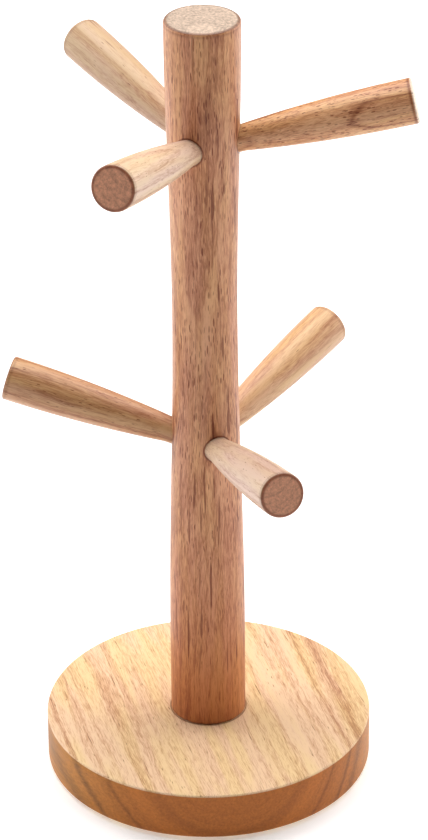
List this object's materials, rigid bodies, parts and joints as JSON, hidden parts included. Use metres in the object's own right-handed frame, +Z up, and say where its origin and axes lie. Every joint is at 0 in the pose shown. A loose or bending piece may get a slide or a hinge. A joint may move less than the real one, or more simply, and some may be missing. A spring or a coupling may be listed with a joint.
{
  "type": "mug tree",
  "caption": "Free-standing wooden mug tree: a waisted turned post on a round base, with tapered pegs that rise outwards in two tiers to hang mugs from.",
  "frame": {"origin": "centre of the face it stands on, which is the underside of the felt disc, on the post's axis", "axes": "+Z up along the post's axis; +X is the side that the upper tier is laid out from, and its first peg is drilled 6 degrees off it; the lower tier is turned 45 degrees from the upper one"},
  "size_m": [0.1702, 0.1634, 0.3455],
  "materials": {
    "base_wood": "pale rubberwood under satin lacquer",
    "post_wood": "warm tan rubberwood under satin lacquer",
    "peg_wood": "warm tan rubberwood under satin lacquer",
    "screw_steel": "zinc-plated",
    "felt": "dark brown pressed felt"
  },
  "bodies": {
    "root": {"base": "base_wood", "post": "post_wood", "upper_peg_right": "peg_wood", "upper_peg_back_left": "peg_wood", "upper_peg_front_left": "peg_wood", "lower_peg_back_right": "peg_wood", "lower_peg_left": "peg_wood", "lower_peg_front_right": "peg_wood", "base_screw": "screw_steel", "screw_washer": "screw_steel", "felt_disc": "felt"}
  },
  "joints": []
}
